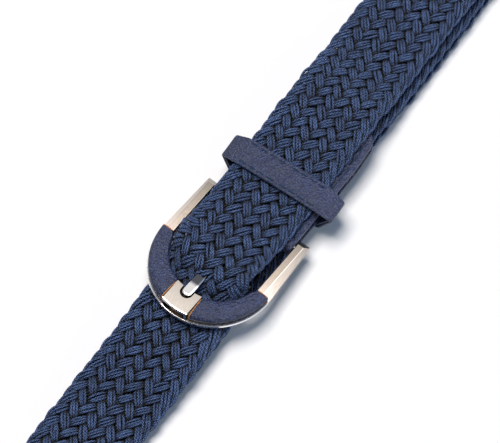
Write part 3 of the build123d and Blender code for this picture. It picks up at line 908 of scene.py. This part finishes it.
def stitchRow(start, end, z, endZ=None):
    # one stitch shaped from a ball, repeated along a straight seam
    (x0, y0), (x1, y1) = start, end
    climb = 0 if endZ is None else endZ - z
    length = hypot(x1 - x0, y1 - y0)
    count = int((length - stitch["length"]) / stitch["pitch"]) + 1
    first = (length - (count - 1) * stitch["pitch"]) / 2
    step = [d / length * stitch["pitch"] for d in (x1 - x0, y1 - y0, climb)]
    row = added(bpy.ops.mesh.primitive_uv_sphere_add, segments=10, ring_count=7, radius=0.5)
    row.scale = (stitch["length"], stitch["width"], stitch["height"])
    row.rotation_euler = (0, 0, atan2(y1 - y0, x1 - x0))
    row.location = [a + d * first / length for a, d in ((x0, x1 - x0), (y0, y1 - y0), (z, climb))]
    keepPlace()
    repeat = row.modifiers.new("repeat", "ARRAY")
    repeat.count = count
    repeat.use_relative_offset = False
    repeat.use_constant_offset = True
    repeat.constant_offset_displace = step
    bpy.ops.object.modifier_apply(modifier="repeat")
    return row


def sideRows(startX, startHalf, endX, endHalf, level):
    return [stitchRow((startX, y * startHalf), (endX, y * endHalf), level) for y in (1, -1)]


def crossRow(x, half, level):
    return stitchRow((x, -half), (x, half), level)


def makeThread(name, rows, place, turns, body, replaced):
    thread = settle(joinAll(name, rows), place, turns)
    fit(thread, body, replaced, threadTeal)


def endPlaces(length, radius, angles):
    # places along a strip's rounded end
    return [length - radius * (1 - sin(radians(angle))) for angle in angles]


def endNarrowing(x, length, radius):
    into = max(0.0, x - length + radius)
    return 2 * (radius - sqrt(max(0.0, radius ** 2 - into ** 2)))


# padded covers on the buckle's curve

cover = {
    "outerDepth": 24.3,
    "outerHalf": 23.0,
    "restHalf": 5.15,
    "outerInset": 0.15,
    "bulgeShares": (0.0, 0.05, 0.12, 0.3, 0.6, 0.9, 1.0),
    "bulges": (0.1, 0.9, 1.6, 1.7, 1.1, 0.4, 0.1),
    "tops": (2.3, 2.5, 2.75, 2.95, 2.95, 2.8, 2.6),
    "bottom": -1.3,
    "middleLevel": 0.825,
    "stopCount": 26,
    "stopCrowding": 1.1,
    "levelShare": 0.8,
    "edgeLength": 0.35,
    "edgeGrow": 0.16,
}


def coverStop(share, side):
    # a section of the cover at a share of the way from the arm to the rest
    c, innerHalf = cover, beltWay["openingHalf"]
    endAngle = asin(c["restHalf"] / ((c["outerHalf"] + innerHalf) / 2))
    angle = pi / 2 + share * (endAngle - pi / 2)
    outer = np.array([-c["outerDepth"] * cos(angle), c["outerHalf"] * sin(angle)])
    inner = np.array([-beltWay["openingDepth"] * cos(angle), innerHalf * sin(angle)])
    if share > c["levelShare"]:
        inner[1] = np.interp(share, (c["levelShare"], 1), (inner[1], c["restHalf"]))
    ahead = (outer - inner) / np.linalg.norm(outer - inner)
    outer = outer - c["outerInset"] * ahead
    inner = inner - np.interp(share, c["bulgeShares"], c["bulges"]) * ahead
    middle = (outer + inner) / 2
    heading = atan2(side * ahead[1], ahead[0]) + side * pi / 2
    top = float(np.interp(share, c["bulgeShares"], c["tops"]))
    size = (float(np.linalg.norm(outer - inner)), top - c["bottom"])
    return (middle[0] - beltWay["armLength"], side * middle[1], heading), size


def makeCover(name, side, replaced):
    c = cover
    shares = np.linspace(0, 1, c["stopCount"]) ** c["stopCrowding"]
    rows = [coverStop(share, side) for share in shares]
    headings = np.unwrap([stop[2] for stop, size in rows])
    stops = [(stop[0], stop[1], float(h)) for (stop, size), h in zip(rows, headings)]
    sizes = [size for stop, size in rows]
    piece = drawOut(name, "XY", stops, sizes)
    edges = []
    for end, follow in ((0, 1), (-1, -2)):
        ahead = np.array(stops[follow][:2]) - np.array(stops[end][:2])
        ahead = ahead / np.linalg.norm(ahead) * c["edgeLength"]
        size = tuple(a + c["edgeGrow"] for a in sizes[end])
        near = stops[end]
        far = (near[0] + ahead[0], near[1] + ahead[1], near[2])
        edges.append(drawOut(name + "Edge", "XY", [near, far], [size, size]))
    edge = joinAll(name + "CutEdge", edges)
    tilt, turn = beltWay["buckleTilt"], beltWay["buckleTurn"]
    middle = Matrix.Rotation(radians(turn), 3, "Z") @ (
        Matrix.Rotation(radians(tilt), 3, "Y") @ Vector((0, 0, c["middleLevel"])))
    for part, node, material in ((piece, replaced, leatherNavy), (edge, None, edgeTan)):
        settle(part, Vector((0, barY, barZ)) + middle, (0, tilt, turn))
        fit(part, "buckle", node, material)
    print(name, len(piece.data.polygons), "faces")


makeCover("coverLeft", 1, "cover_leather_left")
makeCover("coverRight", -1, "cover_leather_right")


# keeper

keeper = {
    "length": 10.4,
    "turn": 1.6,
    "leather": 0.95,
    "lining": 0.75,
    "liningShorter": 0.5,
    "cornerShare": 0.42,
    "jointGap": 0.3,
    "floorLevel": 3.9,
    "bottomHalf": 18.5,
    "widestHalf": 22.8,
    "widestLevel": 14.4,
    "shoulderHalf": 16.0,
    "roofLevel": 17.75,
    "crown": 0.25,
    "crownRadius": 60.0,
    "nearSideMore": 0.6,
    "narrowing": 1.9,
    "narrowingHalf": 17.0,
    "radii": (2.2, 1.5, 8.0),
    "leastRadius": 0.5,
    "arcSteps": 5,
    "stitchInset": 1.3,
    "stitchHalf": 16.5,
    "stitchProud": 0.1,
}


def keeperPath(inset):
    # from the joint under the belt out, up and over, and back to the joint
    k = keeper
    low, roof = k["floorLevel"] + inset, k["roofLevel"] - inset
    half = [(k["jointGap"] / 2, low), (k["bottomHalf"] - inset, low)]
    half += [(k["widestHalf"] - inset, k["widestLevel"]), (k["shoulderHalf"], roof)]
    corners = half + [(0, roof + k["crown"])] + [(-y, z) for y, z in reversed(half)]
    corners = [(y - k["nearSideMore"] if z == k["widestLevel"] and y < 0 else y, z) for y, z in corners]
    radii = [max(r - inset, k["leastRadius"]) for r in k["radii"]]
    return bentPath(corners, radii + [k["crownRadius"]] + radii[::-1], k["arcSteps"])


def keeperBand(name, inset, wall, length, replaced, place, turns):
    k = keeper
    stops = keeperPath(inset)
    sizes = []
    for y, z, heading in stops:
        fold = min(max((abs(y) - k["narrowingHalf"]) / (k["widestHalf"] - k["narrowingHalf"]), 0), 1)
        sizes.append((wall, length - k["narrowing"] * fold * fold))
    band = settle(drawOut(name, "YZ", stops, sizes, wall * k["cornerShare"]), place, turns)
    fit(band, "keeper", replaced, leatherNavy, edgeGrey, (1, 0, 0))


def makeKeeper():
    k = keeper
    centre = midOf("keeper_leather") / mm
    place, turns = (centre.x, centre.y, 0), (0, 0, k["turn"])
    leather, lining, length = k["leather"], k["lining"], k["length"]
    keeperBand("keeperBand", leather / 2, leather, length, "keeper_leather", place, turns)
    keeperBand(
        "keeperLining", leather + lining / 2, lining, length - k["liningShorter"], "keeper_lining",
        place, turns)
    seam = k["roofLevel"] + k["stitchProud"]
    rows = []
    for side in (1, -1):
        x = side * (length / 2 - k["stitchInset"])
        for end in (1, -1):
            rows.append(stitchRow((x, end * k["stitchHalf"]), (x, 0), seam, seam + k["crown"]))
    makeThread("keeperStitches", rows, place, turns, "keeper", "keeper_thread")
    print("keeper made")


makeKeeper()


# tab

tab = {
    "wide": 35.2,
    "narrow": 33.0,
    "length": 50.0,
    "taperStart": 36.0,
    "braidStart": 10.0,
    "cornerRadius": 5.0,
    "arcStep": 15,
    "half": 3.05,
    "leather": 1.3,
    "edgeRound": 0.25,
    "slotWidth": 6.4,
    "slotLength": 8.0,
    "slotDepth": 20.0,
    "stitchInset": 2.0,
}


def tabWidth(x):
    t = tab
    wide = float(np.interp(x, (t["taperStart"], t["length"]), (t["wide"], t["narrow"])))
    return wide - endNarrowing(x, t["length"], t["cornerRadius"])


def cutSlot(piece):
    # the slot that the prong swings in, cut through the fold by a drawn-out round
    t = tab
    radius, depth = t["slotWidth"] / 2, t["slotDepth"]
    cutter = added(bpy.ops.mesh.primitive_cylinder_add, vertices=48, radius=radius, depth=depth)
    mode("EDIT")
    bpy.ops.mesh.select_all(action="DESELECT")
    mode("OBJECT")
    for vertex in cutter.data.vertices:
        vertex.select = vertex.co.x < -0.01
    mode("EDIT")
    bpy.ops.transform.translate(value=(-2 * t["slotLength"], 0, 0))
    mode("OBJECT")
    cutter.location = (t["slotLength"], 0, 0)
    cut = piece.modifiers.new("slot", "BOOLEAN")
    cut.object = cutter
    cut.solver = "EXACT"
    bpy.context.view_layer.objects.active = piece
    bpy.ops.object.modifier_apply(modifier="slot")
    bpy.data.objects.remove(cutter)


def makeTab():
    t = tab
    middle = t["half"] - t["leather"] / 2
    corner = t["length"] - t["cornerRadius"]
    ends = endPlaces(t["length"], t["cornerRadius"], range(90, 0, -t["arcStep"]))
    straight = [(x, -middle, pi) for x in (*ends, corner, t["taperStart"], t["braidStart"], 0.0)]
    fold = [
        (-middle * sin(a), -middle * cos(a), pi - a)
        for a in map(radians, range(t["arcStep"], 180, t["arcStep"]))
    ]
    stops = straight + fold + [(x, middle, 0.0) for x, low, heading in reversed(straight)]
    sizes = [(t["leather"], tabWidth(x) if x > 0 else t["wide"]) for x, z, heading in stops]
    piece = drawOut("tabStrap", "XZ", stops, sizes, t["edgeRound"])
    cutSlot(piece)
    place, turns = (0, barY, barZ), (0, 0, beltWay["buckleTurn"])
    settle(piece, place, turns)
    fit(piece, "belt", "tab_leather", leatherNavy, edgeGrey)
    wide, narrow = t["wide"] / 2 - t["stitchInset"], t["narrow"] / 2 - t["stitchInset"]
    far, farHalf = t["length"] - t["stitchInset"], t["narrow"] / 2 - t["cornerRadius"]
    near = t["slotLength"] + t["slotWidth"] / 2 + t["stitchInset"]
    nearHalf = wide - t["stitchInset"]
    rows = []
    for facing in (1, -1):
        level = facing * (t["half"] + stitch["proud"])
        rows += sideRows(0, wide, t["taperStart"], wide, level)
        rows += sideRows(t["taperStart"], wide, corner, narrow, level)
        rows += [crossRow(far, farHalf, level), crossRow(near, nearHalf, level)]
    makeThread("tabStitches", rows, place, turns, "belt", "tab_thread")
    print("tab made,", len(piece.data.polygons), "faces")


makeTab()


# tip

tip = {
    "length": 41.0,
    "wide": 32.9,
    "leather": 1.1,
    "edgeRound": 0.38,
    "innerHalf": 1.4,
    "closeStart": 23.0,
    "closeLength": 7.0,
    "closeRadius": 18.0,
    "closeSteps": 4,
    "pointRadius": 12.0,
    "pointAngles": (0, 15, 30, 45, 60, 75, 86),
    "pathPast": 3.0,
    "leastStep": 0.2,
    "stitchInset": 2.0,
    "stitchNear": 2.0,
}


def makeTip():
    t = tip
    place = (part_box("tip_front_leather")[0].x / mm, upperY, tailZ)
    outer, meet = t["innerHalf"] + t["leather"] / 2, t["leather"] / 2
    closeEnd = t["closeStart"] + t["closeLength"]
    path = bentPath(
        [(0, outer), (t["closeStart"], outer), (closeEnd, meet), (t["length"], meet)],
        [t["closeRadius"]] * 2, t["closeSteps"])
    rounded = t["length"] - t["pointRadius"]
    last = endPlaces(t["length"], t["pointRadius"], t["pointAngles"])
    stops = [stop for stop in path if stop[0] < min(rounded, closeEnd + t["pathPast"])]
    stops += [(x, meet, 0.0) for x in last if x > stops[-1][0] + t["leastStep"]]
    sizes = [
        (t["leather"], t["wide"] - endNarrowing(x, t["length"], t["pointRadius"]))
        for x, z, heading in stops
    ]
    near, far = t["stitchNear"], t["length"] - t["stitchInset"]
    edge, farHalf = t["wide"] / 2 - t["stitchInset"], t["wide"] / 2 - t["pointRadius"]
    nearHalf = edge - t["stitchInset"]
    rows = []
    leaves = (("tipFront", 1, "tip_front_leather"), ("tipBack", -1, "tip_back_leather"))
    for name, facing, replaced in leaves:
        leafStops = [(x, facing * z, facing * heading) for x, z, heading in stops]
        leaf = settle(drawOut(name, "XZ", leafStops, sizes, t["edgeRound"]), place)
        fit(leaf, "tail", replaced, leatherNavy, edgeGrey)
        level = facing * (outer + t["leather"] / 2 + stitch["proud"])
        farLevel = facing * (t["leather"] + stitch["proud"])
        rows += sideRows(near, edge, t["closeStart"], edge, level)
        rows += [crossRow(near, nearHalf, level), crossRow(far, farHalf, farLevel)]
    makeThread("tipStitches", rows, place, (0, 0, 0), "tail", "tip_thread")
    print("tip made")


makeTip()


# floor, light and camera

stageLook = {
    "floorSize": 6.0,
    "floorLevel": -0.0002,
    "floorColour": (0.77, 0.755, 0.75, 1),
    # the paper glows with distance from the belt, until it is all white
    "paperReach": (0.06, 0.6),
    "paperGlow": (0.04, 1.0),
    "ambientColour": (0.23, 0.53, 1.0, 1),
    "ambientStrength": 0.21,
    "mirroredColour": (1, 0.98, 0.96, 1),
    # what the metal mirrors: grey overhead, bright on the near side, dark past the buckle's curve
    "overhead": 0.80,
    "nearSideMore": 1.15,
    "nearSideY": (0.15, -0.45),
    "pastCurveX": (-0.85, -0.45),
    "pastCurveLight": (0.06, 1.0),
}
lamps = {
    "keyLamp": ((0.04, 0.25, 1.26), 0.58, 21.0, (1.0, 0.97, 0.93)),
    "fillLamp": ((0.35, -1.1, 0.40), 0.8, 3.5, (0.72, 0.85, 1.0)),
}
white = (1, 1, 1, 1)


def makeFloor():
    s = stageLook
    place = (0, 0, s["floorLevel"])
    floor = added(bpy.ops.mesh.primitive_plane_add, size=s["floorSize"], location=place)
    floor.name = "floorSheet"
    material, nodes, shader = newMaterial("palePaper", {
        "Base Color": s["floorColour"], "Roughness": 0.9, "Specular IOR Level": 0.1,
    })
    rays = addNode(nodes, "LightPath").outputs
    sockets = {0: rays["Is Camera Ray"], 1: rays["Is Glossy Ray"]}
    seen = addNode(nodes, "Math", sockets, operation="MAXIMUM").outputs[0]
    sockets = {0: objectPlace(nodes)}
    distance = addNode(nodes, "VectorMath", sockets, operation="LENGTH").outputs["Value"]
    whitening = remapped(nodes, distance, s["paperReach"], s["paperGlow"], "SMOOTHSTEP")
    sockets = {"Color": white, "Strength": product(nodes, seen, whitening)}
    glow = addNode(nodes, "Emission", sockets).outputs["Emission"]
    both = addNode(nodes, "AddShader", {0: shader.outputs["BSDF"], 1: glow}).outputs["Shader"]
    fillSockets(nodes["Material Output"], {"Surface": both})
    dress(floor, material)


def makeLight():
    s = stageLook
    world = bpy.data.worlds.new("paleStudio")
    bpy.context.scene.world = world
    world.use_nodes = True
    nodes = world.node_tree.nodes
    ambient = nodes["Background"]
    fillSockets(ambient, {"Color": s["ambientColour"], "Strength": s["ambientStrength"]})
    direction = addNode(nodes, "TexCoord").outputs["Generated"]
    parts = addNode(nodes, "SeparateXYZ", {"Vector": direction}).outputs
    nearSide = remapped(nodes, parts["Y"], s["nearSideY"], ease="SMOOTHSTEP")
    brightness = timesPlus(nodes, nearSide, s["nearSideMore"], s["overhead"])
    pastCurve = remapped(nodes, parts["X"], s["pastCurveX"], s["pastCurveLight"], "SMOOTHSTEP")
    sockets = {"Color": s["mirroredColour"], "Strength": product(nodes, brightness, pastCurve)}
    mirrored = addNode(nodes, "Background", sockets).outputs[0]
    paper = addNode(nodes, "Background", {"Color": white, "Strength": 1.0}).outputs[0]
    rays = addNode(nodes, "LightPath").outputs
    sockets = {0: rays["Is Glossy Ray"], 1: ambient.outputs[0], 2: mirrored}
    lighting = addNode(nodes, "MixShader", sockets).outputs[0]
    sockets = {0: rays["Is Camera Ray"], 1: lighting, 2: paper}
    fillSockets(nodes["World Output"], {"Surface": addNode(nodes, "MixShader", sockets).outputs[0]})
    for name, (place, size, power, colour) in lamps.items():
        lamp = added(bpy.ops.object.light_add, type="AREA", location=place)
        lamp.name = name
        lamp.data.size = size
        lamp.data.energy = power
        lamp.data.color = colour
        lamp.rotation_euler = (-Vector(place)).to_track_quat("-Z", "Y").to_euler()


cameraLook = {
    "target": (3.5, -0.65, 10.5),
    "targetPixel": (259.7, 210.5),
    "photoWidth": 500,
    "photoHeight": 443,
    "pixelsPerMm": 2.90,
    "azimuth": -54.3,
    "elevation": 67.5,
    "distance": 1.2,
    "sensorWidth": 36.0,
    "clip": (0.05, 20.0),
}


def makeCamera():
    c = cameraLook
    azimuth, elevation = radians(c["azimuth"]), radians(c["elevation"])
    right = Vector((cos(azimuth), sin(azimuth), 0))
    away = Vector((sin(azimuth), -cos(azimuth), 0))
    back = away * cos(elevation) + Vector((0, 0, 1)) * sin(elevation)
    up = back.cross(right)
    pixel = mm / c["pixelsPerMm"]
    offRight = (c["targetPixel"][0] - c["photoWidth"] / 2) * pixel
    offDown = (c["targetPixel"][1] - c["photoHeight"] / 2) * pixel
    aim = Vector(c["target"]) * mm - right * offRight + up * offDown
    data = bpy.data.cameras.new("photoCamera")
    data.sensor_width = c["sensorWidth"]
    data.lens = c["sensorWidth"] * c["distance"] / (c["photoWidth"] * pixel)
    data.clip_start, data.clip_end = c["clip"]
    camera = bpy.data.objects.new("photoCamera", data)
    bpy.context.scene.collection.objects.link(camera)
    turned = Matrix((right, up, back)).transposed().to_4x4()
    camera.matrix_world = Matrix.Translation(aim + back * c["distance"]) @ turned
    bpy.context.scene.camera = camera


makeFloor()
makeLight()
makeCamera()
bpy.context.scene.view_settings.view_transform = "Standard"
print("stage, light and camera in place")
